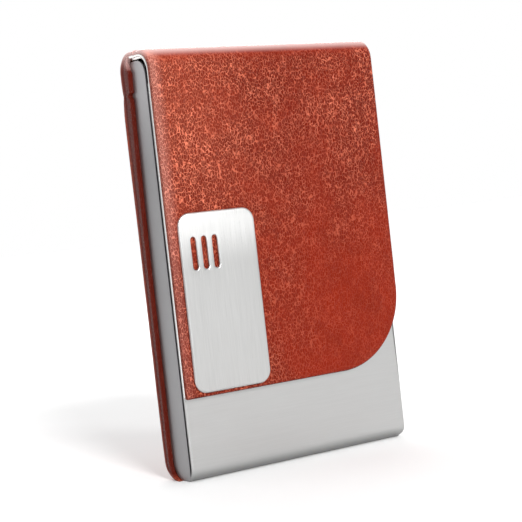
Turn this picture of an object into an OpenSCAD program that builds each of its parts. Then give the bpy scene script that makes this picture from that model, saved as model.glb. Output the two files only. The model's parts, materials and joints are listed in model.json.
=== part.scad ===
// Upright business card case: a steel pocket with a leather cover that hinges over its top.
// Front faces -Y, +X is the right-hand side, +Z is up, and the origin is under the middle of the case.
// Millimetres.

/* [Case] */
// Width of the case
case_w = 62; // [58:1:70]
// Height of the case
case_h = 97; // [94:1:104]
// Depth from the flap's leather to the back panel's leather
case_d = 14; // [13.5:0.5:17]
// Radius of the cover's two long top edges
cover_top_r = 4.5; // [4:0.1:5]
// Radius under the back panel's lower edge
cover_foot_r = 4.3; // [4:0.1:4.8]

/* [Pocket] */
// Depth of the steel side walls
wall_d = 6.9; // [6:0.1:7.5]
// Thickness of the steel side walls
wall_t = 0.6; // [0.5:0.1:0.8]
// How far the side walls stand in from the cover's sides
wall_inset = 1.05; // [0.8:0.05:1.3]
// Radius of the side walls' top corners
wall_top_r = 2.3; // [1.5:0.1:2.5]
// Radius of the side walls' back-bottom corner
wall_foot_r = 4; // [3:0.1:4]
// Thickness of the front plate
front_t = 0.4; // [0.4:0.1:0.5]
// How far the front plate stands in from the cover's sides
front_inset = 0.55; // [0.3:0.05:0.7]
// Groove between the front plate and the side walls
groove_d = 1.6; // [1:0.1:1.8]
// Outer radius of the front plate's rolled lower edge
front_roll_r = 3; // [2.5:0.1:3.4]
// Radius of the front plate's two lower corners
front_corner_r = 2; // [1:0.1:2.5]
// Thickness of the back plate
back_t = 0.5; // [0.4:0.1:0.6]
// Radius of the thumb notch in the front plate's top edge
notch_r = 11; // [8:0.5:13]
// Thickness of the flocked linings
lining_t = 0.4; // [0.3:0.1:0.5]

/* [Cover] */
// Thickness of the leather skin
leather_t = 0.8; // [0.6:0.1:1]
// Thickness of the flap's stiffening board
flap_board_t = 0.9; // [0.9:0.1:1]
// Thickness of the flap's steel liner
liner_t = 0.4; // [0.3:0.1:0.4]
// Gap between the closed flap's liner and the front plate
flap_gap = 0.25; // [0.2:0.05:0.4]
// Gap between the liner and the side walls' tops
crown_gap = 0.5; // [0.4:0.1:0.8]
// Height of the flap's lower edge above the base
flap_bottom = 18.7; // [15:0.1:30]
// Radius of the flap's lower right corner
flap_corner_r = 18; // [10:0.5:20]
// How far the flap's steel liner stands in from the cover's sides
liner_inset = 0.3; // [0.1:0.1:0.5]
// Thickness of the back panel's board
back_board_t = 1; // [0.8:0.1:1.2]
// Height of the hinge's turning line
hinge_z = 87.2; // [86:0.1:88]

/* [Ornament plate] */
// Width of the plate
badge_w = 20.2; // [15:0.1:24]
// Height of the plate
badge_h = 40.1; // [30:0.1:50]
// Thickness of the plate
badge_t = 0.6; // [0.4:0.1:0.8]
// Corner radius of the plate
badge_r = 3; // [1:0.1:5]
// Distance from the flap's left edge
badge_left = 2.2; // [1:0.1:6]
// Distance above the flap's lower edge
badge_low = 0.9; // [0.5:0.1:6]
// Number of slots
slot_count = 3; // [1:1:5]
// Width of a slot
slot_w = 1.3; // [0.8:0.1:1.8]
// Length of a slot
slot_len = 7.3; // [4:0.1:10]
// Distance from slot to slot
slot_pitch = 2.8; // [2.2:0.1:3.4]

/* [Hidden] */
$fn = 64;

steel = [0.74, 0.74, 0.73];
steel_dark = [0.58, 0.58, 0.57];
polished = [0.93, 0.92, 0.90];
leather = [0.66, 0.24, 0.16];
leather_dark = [0.42, 0.15, 0.11];
flock = [0.12, 0.12, 0.13];
greyboard = [0.55, 0.50, 0.44];
foam = [0.85, 0.82, 0.76];
tape = [0.88, 0.86, 0.78];
magnet = [0.70, 0.71, 0.73];

// How far a cut runs past the face it opens
over = 1;
half_w = case_w / 2;
tape_t = 0.1;
skin_t = leather_t + 0.1;

// Depth positions, front to back. The box round the closed case is centred on Y = 0.
badge_y = -(case_d + badge_t + tape_t) / 2;
flap_y = badge_y + badge_t + tape_t;
back_y = flap_y + case_d;
board_y = flap_y + leather_t;
liner_y = board_y + flap_board_t;
liner_in_y = liner_y + liner_t;
front_y = liner_in_y + flap_gap;
wall_y = front_y + front_t + groove_d;
wall_back_y = wall_y + wall_d;
panel_y = wall_back_y + tape_t;
foam_y = panel_y + back_board_t;

// Height positions
crown_t = leather_t + 0.5;
liner_top = case_h - crown_t;
wall_top = liner_top - liner_t - crown_gap;
// The flap's liner swings past the front plate's top edge, so the plate ends just above the hinge line
front_top = hinge_z + 1.8;
hinge_low = hinge_z - 1;
hinge_high = hinge_z + 1;
lining_foot = 5;

// Insides of the pocket and of the flap
pocket_half = half_w - wall_inset - wall_t;
front_half = half_w - front_inset;
flange_d = 2.8;
panel_joint_y = wall_back_y - wall_foot_r;
liner_inner_r = 2.6;
liner_end_y = wall_back_y - 2.1;
room_behind = 0.4;
magnet_r = 4;
magnet_fit = 0.05;
magnet_t = 0.8;
magnet_high = [34, 12];

// Places of the slots in the ornament plate
badge_x = -half_w + badge_left;
badge_z = flap_bottom + badge_low;
slot_left = 3.5;
slot_low = 27.4;

// A rectangle from (x0, z0) to (x1, z1) with its own radius at each corner
// (bottom left, bottom right, top right, top left); 0 leaves a corner square
module corner_trim(x, z, r, sx, sz) {
    if (r > 0)
        translate([x, z]) scale([sx, sz]) difference() {
            translate([-over, -over]) square(r + over);
            translate([r, r]) circle(r);
        }
}

module panel_outline(x0, z0, x1, z1, r) {
    difference() {
        translate([x0, z0]) square([x1 - x0, z1 - z0]);
        corner_trim(x0, z0, r[0], 1, 1);
        corner_trim(x1, z0, r[1], -1, 1);
        corner_trim(x1, z1, r[2], -1, -1);
        corner_trim(x0, z1, r[3], 1, -1);
    }
}

// Extrudes a side outline, drawn as (Y, Z), from X = x0 to X = x1
module across(x0, x1) {
    translate([x0, 0, 0]) rotate([90, 0, 90]) linear_extrude(x1 - x0) children();
}

// Extrudes a front outline, drawn as (X, Z), from Y = y0 to Y = y1
module through(y0, y1) {
    translate([0, y1, 0]) rotate([90, 0, 0]) linear_extrude(y1 - y0) children();
}

// Side outline of the whole closed cover, shrunk by t all round
module cover_side(t) {
    panel_outline(flap_y + t, t, back_y - t, case_h - t,
                  [0, cover_foot_r - t, cover_top_r - t, cover_top_r - t]);
}

// Side outline of a side wall and all that lies in front of it, from Y = y0 back
module wall_side(y0) {
    panel_outline(y0, 0, wall_back_y, wall_top, [0, wall_foot_r, wall_top_r, wall_top_r]);
}

// Front outline of the flap, shrunk by t at its sides and lower edge
module flap_front(t) {
    panel_outline(-half_w + t, flap_bottom + t, half_w - t, case_h + over,
                  [0, flap_corner_r - t, 0, 0]);
}

// The half-round thumb notch through a sheet whose top edge is at front_top
module thumb_notch(y0, y1, r) {
    translate([0, y1, front_top]) rotate([90, 0, 0]) cylinder(r = r, h = y1 - y0);
}

// ---- Pocket ----

// The front and back plates butt together under the pocket, at panel_joint_y
module front_plate() {
    inside_y = front_y + front_t;
    color(steel) {
        difference() {
            intersection() {
                across(-front_half, front_half) difference() {
                    panel_outline(front_y, 0, panel_joint_y, front_top, [front_roll_r, 0, 0, 0]);
                    panel_outline(inside_y, front_t, panel_joint_y + over, front_top + over,
                                  [front_roll_r - front_t, 0, 0, 0]);
                }
                through(-case_d, case_d)
                    panel_outline(-front_half, 0, front_half, front_top,
                                  [front_corner_r, front_corner_r, 0, 0]);
            }
            thumb_notch(front_y - over, inside_y + over, notch_r);
            for (side = [-1, 1])
                translate([side * (pocket_half + half_w / 2), wall_y + half_w / 2, 0])
                    cube([half_w, half_w, case_h], center = true);
        }
        for (side = [-1, 1])
            translate([side * (pocket_half - front_t / 2), inside_y + flange_d / 2,
                       (lining_foot + front_top) / 2])
                cube([front_t, flange_d, front_top - lining_foot], center = true);
    }
}

module back_plate() {
    color(steel_dark)
        across(-pocket_half, pocket_half) intersection() {
            difference() {
                panel_outline(wall_y, 0, wall_back_y, wall_top, [0, wall_foot_r, 0, 0]);
                panel_outline(wall_y - over, back_t, wall_back_y - back_t, wall_top + over,
                              [0, wall_foot_r - back_t, 0, 0]);
            }
            translate([panel_joint_y, -over]) square([case_d, case_h + 2 * over]);
        }
}

module side_wall(x0) {
    color(steel) across(x0, x0 + wall_t) wall_side(wall_y);
}

module side_wall_left() {
    side_wall(-half_w + wall_inset);
}

module side_wall_right() {
    side_wall(pocket_half);
}

module front_lining() {
    y0 = front_y + front_t;
    lining_half = pocket_half - front_t;
    color(flock)
        difference() {
            through(y0, y0 + lining_t)
                translate([-lining_half, lining_foot])
                    square([2 * lining_half, front_top - lining_foot - 1]);
            thumb_notch(y0 - over, y0 + lining_t + over, notch_r + 1);
        }
}

module back_lining() {
    y1 = wall_back_y - back_t;
    color(flock)
        through(y1 - lining_t, y1)
            translate([-pocket_half, lining_foot])
                square([2 * pocket_half, wall_top - lining_foot - 1]);
}

// ---- Back panel ----

module panel_tape() {
    color(tape)
        through(wall_back_y, panel_y)
            translate([-half_w + 2, lining_foot + 1])
                square([case_w - 4, hinge_low - lining_foot - 3]);
}

// Side outline of what the back panel's leather is wrapped round
module panel_fill(y0, y1) {
    intersection() {
        difference() {
            cover_side(skin_t);
            translate([-case_d, -over]) square([case_d + panel_joint_y, case_h]);
            wall_side(-case_d);
        }
        translate([y0, -over]) square([y1 - y0, hinge_low - skin_t + over]);
    }
}

module back_board() {
    color(greyboard)
        through(panel_y, foam_y)
            translate([-half_w + skin_t, lining_foot + 1])
                square([case_w - 2 * skin_t, hinge_low - skin_t - lining_foot - 1]);
}

module back_foam() {
    color(foam)
        across(-half_w + skin_t, half_w - skin_t)
            difference() {
                panel_fill(wall_back_y, back_y);
                translate([wall_back_y - over, lining_foot + 1])
                    square([over + foam_y - wall_back_y, case_h]);
            }
}

module back_leather() {
    color(leather)
        difference() {
            across(-half_w, half_w)
                intersection() {
                    difference() {
                        cover_side(0);
                        wall_side(-case_d);
                    }
                    translate([panel_joint_y, -over]) square([case_d, hinge_low + over]);
                }
            across(-half_w + skin_t, half_w - skin_t) {
                panel_fill(wall_back_y, back_y);
                translate([wall_back_y - over, lining_foot + 1])
                    square([over + foam_y - wall_back_y, hinge_low - skin_t - lining_foot - 1]);
            }
        }
}

// ---- Hinge ----

module hinge_leather() {
    color(leather)
        translate([-half_w, back_y - skin_t, hinge_low])
            cube([case_w, skin_t, hinge_high - hinge_low]);
}

module hinge_lining() {
    color(leather_dark)
        translate([-half_w + skin_t, back_y - skin_t - lining_t, hinge_low])
            cube([case_w - 2 * skin_t, lining_t, hinge_high - hinge_low]);
}

// ---- Flap ----

// Side outline inside the liner's bend over the pocket's top
module liner_inside(t) {
    panel_outline(liner_in_y - t, -over, case_d, liner_top - liner_t + t,
                  [0, 0, 0, liner_inner_r + t]);
}

module flap_liner() {
    color(polished)
        intersection() {
            across(-half_w, half_w)
                intersection() {
                    difference() {
                        liner_inside(liner_t);
                        liner_inside(0);
                    }
                    translate([flap_y, 0]) square([liner_end_y - flap_y, case_h]);
                }
            through(-case_d, case_d) flap_front(liner_inset);
        }
}

module magnet_disc(z, r, t) {
    x = -half_w + badge_left + badge_w / 2;
    translate([x, liner_y, flap_bottom + z]) rotate([90, 0, 0]) cylinder(r = r, h = t);
}

// Front outline of the flap's board, up to where the cover starts to bend over the top
module flap_board_front() {
    intersection() {
        flap_front(leather_t);
        translate([-half_w, 0]) square([case_w, case_h - cover_top_r]);
    }
}

module flap_board() {
    color(greyboard)
        difference() {
            through(board_y, liner_y) flap_board_front();
            for (z = magnet_high)
                translate([0, over, 0]) magnet_disc(z, magnet_r + magnet_fit, flap_board_t + 2 * over);
        }
}

module magnet_upper() {
    color(magnet) magnet_disc(magnet_high[0], magnet_r, magnet_t);
}

module magnet_lower() {
    color(magnet) magnet_disc(magnet_high[1], magnet_r, magnet_t);
}

// Side outline of the room that the flap leaves for the pocket, behind the liner's bend
module pocket_room() {
    bend_y = liner_in_y + liner_inner_r;
    translate([bend_y, -over])
        square([wall_back_y + room_behind - bend_y, liner_top - liner_t + over]);
}

// Side outline of the closed cover from the hinge strip's end up, with the room inside it left out
module cover_over_hinge(t) {
    difference() {
        cover_side(t);
        translate([liner_y, -over]) square([case_d, hinge_high + over]);
        pocket_room();
        intersection() {
            liner_inside(liner_t);
            translate([-case_d, 0]) square([case_d + liner_end_y, case_h]);
        }
    }
}

module spine_padding() {
    color(foam)
        across(-half_w + leather_t, half_w - leather_t)
            intersection() {
                cover_over_hinge(leather_t);
                union() {
                    translate([board_y, case_h - cover_top_r]) square([case_d, case_h]);
                    translate([liner_end_y, hinge_high + leather_t]) square([case_d, case_h]);
                }
            }
}

module flap_leather() {
    color(leather)
        intersection() {
            difference() {
                across(-half_w, half_w) cover_over_hinge(0);
                through(board_y, liner_y) flap_board_front();
                spine_padding();
            }
            through(-case_d, case_d) flap_front(0);
        }
}

// ---- Ornament plate ----

module slot(x, z) {
    r = slot_w / 2;
    translate([x - r, z + r]) square([slot_w, slot_len - slot_w]);
    translate([x, z + r]) circle(r);
    translate([x, z + slot_len - r]) circle(r);
}

module badge_plate() {
    color(polished)
        through(badge_y, badge_y + badge_t)
            difference() {
                panel_outline(badge_x, badge_z, badge_x + badge_w, badge_z + badge_h,
                              [badge_r, badge_r, badge_r, badge_r]);
                for (i = [0 : slot_count - 1])
                    slot(badge_x + slot_left + i * slot_pitch, badge_z + slot_low);
            }
}

module badge_tape() {
    margin = 1.2;
    r = badge_r - margin;
    window_w = (slot_count - 1) * slot_pitch + slot_w + 2 * margin;
    color(tape)
        through(badge_y + badge_t, flap_y)
            difference() {
                panel_outline(badge_x + margin, badge_z + margin, badge_x + badge_w - margin,
                              badge_z + badge_h - margin, [r, r, r, r]);
                translate([badge_x + slot_left - slot_w / 2 - margin, badge_z + slot_low - margin])
                    square([window_w, slot_len + 2 * margin]);
            }
}

front_plate();
back_plate();
side_wall_left();
side_wall_right();
front_lining();
back_lining();
panel_tape();
back_board();
back_foam();
back_leather();
hinge_leather();
hinge_lining();
flap_liner();
flap_board();
spine_padding();
flap_leather();
magnet_upper();
magnet_lower();
badge_plate();
badge_tape();
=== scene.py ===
"""Looks of the upright card case: leather cover, steel pocket, ornament plate, floor, lights and camera.

Lengths are in millimetres here, and build() turns them into metres.
"""

import json
import math

import bpy
import numpy as np
from mathutils import Matrix, Vector, noise


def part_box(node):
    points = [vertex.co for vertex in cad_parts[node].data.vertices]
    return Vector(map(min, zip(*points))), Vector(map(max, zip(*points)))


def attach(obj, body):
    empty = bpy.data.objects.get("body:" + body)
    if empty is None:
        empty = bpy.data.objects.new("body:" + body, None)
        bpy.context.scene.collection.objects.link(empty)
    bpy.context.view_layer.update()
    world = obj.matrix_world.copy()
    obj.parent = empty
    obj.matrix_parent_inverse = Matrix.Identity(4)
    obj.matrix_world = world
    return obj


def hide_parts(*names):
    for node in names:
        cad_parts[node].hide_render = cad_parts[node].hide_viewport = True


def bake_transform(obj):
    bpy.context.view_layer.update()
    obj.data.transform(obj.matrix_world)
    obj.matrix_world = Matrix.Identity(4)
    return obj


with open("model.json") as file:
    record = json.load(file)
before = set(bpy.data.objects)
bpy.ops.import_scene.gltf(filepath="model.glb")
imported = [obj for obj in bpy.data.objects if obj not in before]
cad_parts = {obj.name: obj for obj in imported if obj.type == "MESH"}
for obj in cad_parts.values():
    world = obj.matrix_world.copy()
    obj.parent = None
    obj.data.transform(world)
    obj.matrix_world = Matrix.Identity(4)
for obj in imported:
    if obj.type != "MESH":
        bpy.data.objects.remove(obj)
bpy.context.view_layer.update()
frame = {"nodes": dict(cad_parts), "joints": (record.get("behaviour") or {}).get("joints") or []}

MM = 0.001


def places(node):
    """Lowest and highest corner of a CAD node, in millimetres."""
    lo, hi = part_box(node)
    return lo / MM, hi / MM


# ---- Places, from the frame ----

flap_lo, flap_hi = places("flap_leather")
back_lo, back_hi = places("back_leather")
hinge_lo, hinge_hi = places("hinge_leather")
strip_lo, strip_hi = places("hinge_lining")
liner_lo, liner_hi = places("flap_liner")
plate_lo, plate_hi = places("front_plate")
wall_lo, wall_hi = places("side_wall_left")
badge_lo, badge_hi = places("badge_plate")
hinge_z = frame["joints"][0]["pos_m"][2] / MM

HALF = flap_hi.x
FRONT = flap_lo.y
BACK = back_hi.y
TOP = flap_hi.z
FLAP_LOW = flap_lo.z

# ---- Sizes that the frame's boxes don't give ----

TOP_R = 4.5
FOOT_R = 4.3
FLAP_CORNER_R = 18.0
SMALL_CORNER_R = 0.5
SKIN_T = 0.9
CROWN_T = 1.3
HEM_T = 0.95
LINER_T = 0.4
LINER_BEND_R = 3.9
LINER_GAP = 0.15
PLATE_T = 0.4
PLATE_ROLL_R = 3.0
PLATE_CORNER_R = 2.0
PLATE_LEFT_CORNER_R = 0.7
NOTCH_R = 11.0
WALL_FOOT_R = 4.0
WALL_TOP_R = 2.0
WALL_FRONT_TOP_R = 3.4
FOOT_LAP = 0.5
WALL_FRONT_FOOT_R = 0.35
GRID = 0.62
PANEL_GRID = 0.45
CORNER_STEPS = 5
LIFTED_RINGS = 4

# ---- Outlines ----


class Path:
    """A side outline in (y, z) of straight and round stretches, with its outer face on its left."""

    def __init__(self, start, heading):
        self.at = np.array(start, float)
        self.heading = heading
        self.parts = []
        self.length = 0.0

    def _ways(self, heading):
        a = np.radians(heading)
        along = np.stack([np.cos(a), np.sin(a)], -1)
        return along, np.stack([-along[..., 1], along[..., 0]], -1)

    def straight(self, length):
        self.parts.append(("straight", self.length, length, self.at.copy(), self.heading, 0.0))
        self.at = self.at + self._ways(self.heading)[0] * length
        self.length += length
        return self

    def turn(self, radius, degrees):
        """Turns right by degrees, or left where degrees is negative."""
        side = math.copysign(1.0, degrees)
        centre = self.at - self._ways(self.heading)[1] * radius * side
        length = radius * math.radians(abs(degrees))
        self.parts.append(("turn", self.length, length, centre, self.heading, radius * side))
        self.heading -= degrees
        self.at = centre + self._ways(self.heading)[1] * radius * side
        self.length += length
        return self

    def place(self, s):
        """Points (y, z) and outward normals at the lengths s."""
        s = np.asarray(s, float)
        points = np.zeros(s.shape + (2,))
        normals = np.zeros(s.shape + (2,))
        last = len(self.parts) - 1
        for i, (kind, begin, length, base, heading, radius) in enumerate(self.parts):
            here = (s >= begin if i else s > -np.inf) & (s < begin + length if i < last else s < np.inf)
            t = s[here] - begin
            if kind == "straight":
                along, out = self._ways(heading)
                points[here] = base + t[:, None] * along
                normals[here] = out
            else:
                out = self._ways(heading - np.degrees(t / radius))[1]
                points[here] = base + radius * out
                normals[here] = out
        return points, normals


def resample(line, costs, count):
    """count points along a polyline, spread evenly by the cost of its stretches."""
    total = np.concatenate([[0.0], np.cumsum(costs)])
    at = np.linspace(0, total[-1], count)
    return np.stack([np.interp(at, total, line[:, i]) for i in range(line.shape[1])], 1)


def corner_points(x, s, radius, begin, end, steps=24):
    """Rows (x, s, inward x, inward s) round a corner centred on (x, s), from begin to end degrees."""
    a = np.radians(np.linspace(begin, end, steps + 1))
    return np.stack([x + radius * np.cos(a), s + radius * np.sin(a), -np.cos(a), -np.sin(a)], 1)


def side_line(rows, count):
    """Joins rows of outline points into one side with count points, with more points on tight corners."""
    line, costs = [], []
    for row in rows:
        cost = np.linalg.norm(np.diff(row[:, :2], axis=0), axis=1) / GRID
        if len(row) > 2 and cost.sum() < CORNER_STEPS:
            cost = cost * CORNER_STEPS / max(cost.sum(), 1e-9)
        if line and np.linalg.norm(line[-1][-1, :2] - row[0, :2]) < 1e-6:
            costs.append([0.0])
        elif line:
            costs.append([np.linalg.norm(line[-1][-1, :2] - row[0, :2]) / GRID])
        line.append(row)
        costs.append(cost)
    return resample(np.concatenate(line), np.concatenate(costs), count)


def outline(half, low, high, radii, count, open_low=False, open_high=False):
    """The four sides of a rounded rectangle in (x, s): bottom and top run right, left and right run up.
    radii are at the bottom left, bottom right, top right and top left. An open end is a seam, and isn't
    inset."""
    bl, br, tr, tl = (max(r, 1e-3) for r in radii)
    across, along = count
    bottom = side_line([corner_points(-half + bl, low + bl, bl, 225, 270),
                        corner_points(half - br, low + br, br, 270, 315)], across)
    right = side_line([corner_points(half - br, low + br, br, 315, 360),
                       corner_points(half - tr, high - tr, tr, 0, 45)], along)
    top = side_line([corner_points(-half + tl, high - tl, tl, 135, 90),
                     corner_points(half - tr, high - tr, tr, 90, 45)], across)
    left = side_line([corner_points(-half + bl, low + bl, bl, 225, 180),
                      corner_points(-half + tl, high - tl, tl, 180, 135)], along)
    if open_low:
        bottom = seam_line(half, low, across)
        left[0, 1] = right[0, 1] = low
        left[0, 2:], right[0, 2:] = (1, 0), (-1, 0)
    if open_high:
        top = seam_line(half, high, across)
        left[-1, 1] = right[-1, 1] = high
        left[-1, 2:], right[-1, 2:] = (1, 0), (-1, 0)
    return bottom, right, top, left


def seam_line(half, s, count):
    """An end that joins another piece: its points only move across when the outline is inset."""
    x = np.linspace(-half, half, count)
    return np.stack([x, np.full(count, s), -x / half, np.zeros(count)], 1)


def coons(bottom, right, top, left):
    """A grid of points (across, along, 2) that fills four sides."""
    u = np.linspace(0, 1, len(bottom))[:, None, None]
    v = np.linspace(0, 1, len(left))[None, :, None]
    flat = (1 - v) * bottom[:, None] + v * top[:, None] + (1 - u) * left[None] + u * right[None]
    corners = ((1 - u) * (1 - v) * bottom[0] + u * (1 - v) * bottom[-1]
               + (1 - u) * v * top[0] + u * v * top[-1])
    return flat - corners


def hoop(bottom, right, top, left):
    """The four sides as one closed loop, anticlockwise."""
    return np.concatenate([bottom[:-1], right[:-1], top[:0:-1], left[:0:-1]])


# ---- Meshes ----


def build(name, verts, faces, material, rest=None, sharp=40.0):
    """A mesh object from points in millimetres. rest is each point's place on the unrolled piece."""
    me = bpy.data.meshes.new(name)
    me.from_pydata((np.asarray(verts, float) * MM).tolist(), [], [list(map(int, f)) for f in faces])
    me.validate()
    if rest is not None:
        spot = me.attributes.new("unrolled", "FLOAT_VECTOR", "POINT")
        spot.data.foreach_set("vector", np.asarray(rest, np.float32).ravel())
    me.shade_smooth()
    me.set_sharp_from_angle(angle=math.radians(sharp))
    me.materials.append(material)
    obj = bpy.data.objects.new(name, me)
    bpy.context.scene.collection.objects.link(obj)
    return obj


def grid_faces(across, along, first, flip=False):
    faces = []
    for i in range(across - 1):
        for j in range(along - 1):
            a = first + i * along + j
            quad = (a, a + along, a + along + 1, a + 1)
            faces.append(quad[::-1] if flip else quad)
    return faces


def grid_rim(across, along, first):
    """Indices of a grid's border, in the order of hoop()."""
    bottom = [first + i * along for i in range(across)]
    top = [first + i * along + along - 1 for i in range(across)]
    left = [first + j for j in range(along)]
    right = [first + (across - 1) * along + j for j in range(along)]
    return bottom[:-1] + right[:-1] + top[:0:-1] + left[:0:-1]


def shell(name, path, sides, rings, material, lift=None):
    """A closed sheet on an outline that is rolled round a path. rings are (inset, height) functions of the
    outline's points, from the outer face round the edge to the inner face. lift raises the outer face."""
    across, along = len(sides[0]), len(sides[3])
    border = hoop(*sides)

    def inset(points, ring):
        d = ring[0](points)
        return points[:, :2] + points[:, 2:] * d[:, None]

    outer = coons(*[inset(side, rings[0]) for side in sides]).reshape(-1, 2)
    inner = coons(*[inset(side, rings[-1]) for side in sides]).reshape(-1, 2)
    inner_height = np.interp(inner[:, 1], *height_along(border, rings[-1]))
    flat = [outer]
    heights = [np.zeros(len(outer))]
    for ring in rings[1:-1]:
        flat.append(inset(border, ring))
        heights.append(ring[1](border))
    flat.append(inner)
    heights.append(inner_height)
    starts = np.cumsum([0] + [len(f) for f in flat])
    faces = grid_faces(across, along, 0)
    loops = [grid_rim(across, along, 0)]
    loops += [list(range(starts[i], starts[i + 1])) for i in range(1, len(flat) - 1)]
    loops.append(grid_rim(across, along, starts[-2]))
    for a, b in zip(loops, loops[1:]):
        for i in range(len(a)):
            j = (i + 1) % len(a)
            faces.append((a[i], b[i], b[j], a[j]))
    faces += grid_faces(across, along, starts[-2], flip=True)
    flat = np.concatenate(flat)
    raised = np.concatenate(heights)
    if lift is not None:
        fall = [min(1.0, max(0.0, 1 - (k - LIFTED_RINGS) / LIFTED_RINGS)) for k in range(len(heights))]
        share = np.concatenate([np.full(len(h), f) for h, f in zip(heights, fall)])
        share[starts[-2]:] = 0
        raised = raised + lift(flat[:, 0], flat[:, 1]) * share
    points, normals = path.place(flat[:, 1])
    side = points + normals * raised[:, None]
    verts = np.stack([flat[:, 0], side[:, 0], side[:, 1]], 1)
    rest = np.stack([flat[:, 0], flat[:, 1], raised], 1)
    return build(name, verts, faces, material, rest)


def height_along(border, ring):
    """A ring's height as a function of s, for the inner face."""
    s = border[:, 1]
    order = np.argsort(s, kind="stable")
    return s[order], ring[1](border)[order]


def slab(name, quads, lift, thickness, material, place):
    """A plate from flat quads: a raised outer face, a flat inner face, and the edges between them.
    lift gives the outer face's height, and place turns (x, z, height) into points."""
    keys, flat, faces = {}, [], []
    for quad in quads:
        face = []
        for point in quad:
            key = (round(point[0], 4), round(point[1], 4))
            if key not in keys:
                keys[key] = len(flat)
                flat.append(point)
            face.append(keys[key])
        if len(set(face)) == len(face):
            faces.append(face)
    flat = np.array(flat, float)
    n = len(flat)
    edges = dict.fromkeys((a, b) for face in faces for a, b in zip(face, face[1:] + face[:1]))
    walls = [(a, a + n, b + n, b) for a, b in edges if (b, a) not in edges]
    everything = faces + [[i + n for i in face[::-1]] for face in faces] + walls
    heights = np.concatenate([lift(flat), np.full(n, -thickness)])
    both = np.concatenate([flat, flat])
    verts = place(both[:, 0], both[:, 1], heights)
    rest = np.stack([both[:, 0], both[:, 1], heights], 1)
    return build(name, verts, everything, material, rest)


def prism(name, outline_points, x0, x1, material, bevel):
    """A side outline in (y, z), extruded across from x0 to x1, with rounded edges."""
    n = len(outline_points)
    verts = [(x, y, z) for x in (x0, x1) for y, z in outline_points]
    faces = [list(range(n))[::-1], list(range(n, 2 * n))]
    faces += [(i, (i + 1) % n, (i + 1) % n + n, i + n) for i in range(n)]
    obj = build(name, verts, faces, material)
    soften = obj.modifiers.new("soften", "BEVEL")
    soften.width = bevel * MM
    soften.segments = 3
    soften.limit_method = "ANGLE"
    soften.angle_limit = math.radians(35)
    soften.harden_normals = True
    return obj


def rounded_box(y0, z0, y1, z1, radii, steps=14):
    """Side outline of a rectangle with its own radius at each corner: front bottom, back bottom, back top,
    front top."""
    points = []
    centres = [(y0, z0, 1, 1, 180), (y1, z0, -1, 1, 270), (y1, z1, -1, -1, 0), (y0, z1, 1, -1, 90)]
    for (y, z, sy, sz, begin), r in zip(centres, radii):
        if r <= 0:
            points.append((y, z))
            continue
        for a in np.radians(np.linspace(begin, begin + 90, steps + 1)):
            points.append((y + sy * r + r * math.cos(a), z + sz * r + r * math.sin(a)))
    return points


# ---- The way of the cover, from the flap's lower edge to the foot ----

cover_path = (Path((FRONT, FLAP_LOW), 90).straight(TOP - TOP_R - FLAP_LOW).turn(TOP_R, 90)
              .straight(BACK - FRONT - 2 * TOP_R).turn(TOP_R, 90).straight(TOP - TOP_R - FOOT_R)
              .turn(FOOT_R, 90).straight(BACK - FOOT_R - back_lo.y - FOOT_LAP))
FRONT_BEND = cover_path.parts[1][1]
CROWN = cover_path.parts[2][1]
SEAM = CROWN + cover_path.parts[2][2] / 2
REAR_BEND = cover_path.parts[3][1]
REAR = cover_path.parts[4][1]
FOOT = cover_path.parts[5][1]
SOLE = cover_path.parts[6][1]
END = cover_path.length


def at_height(z):
    """Length along the cover where its back is at height z."""
    return REAR + (TOP - TOP_R - z)


# ---- Materials ----


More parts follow.
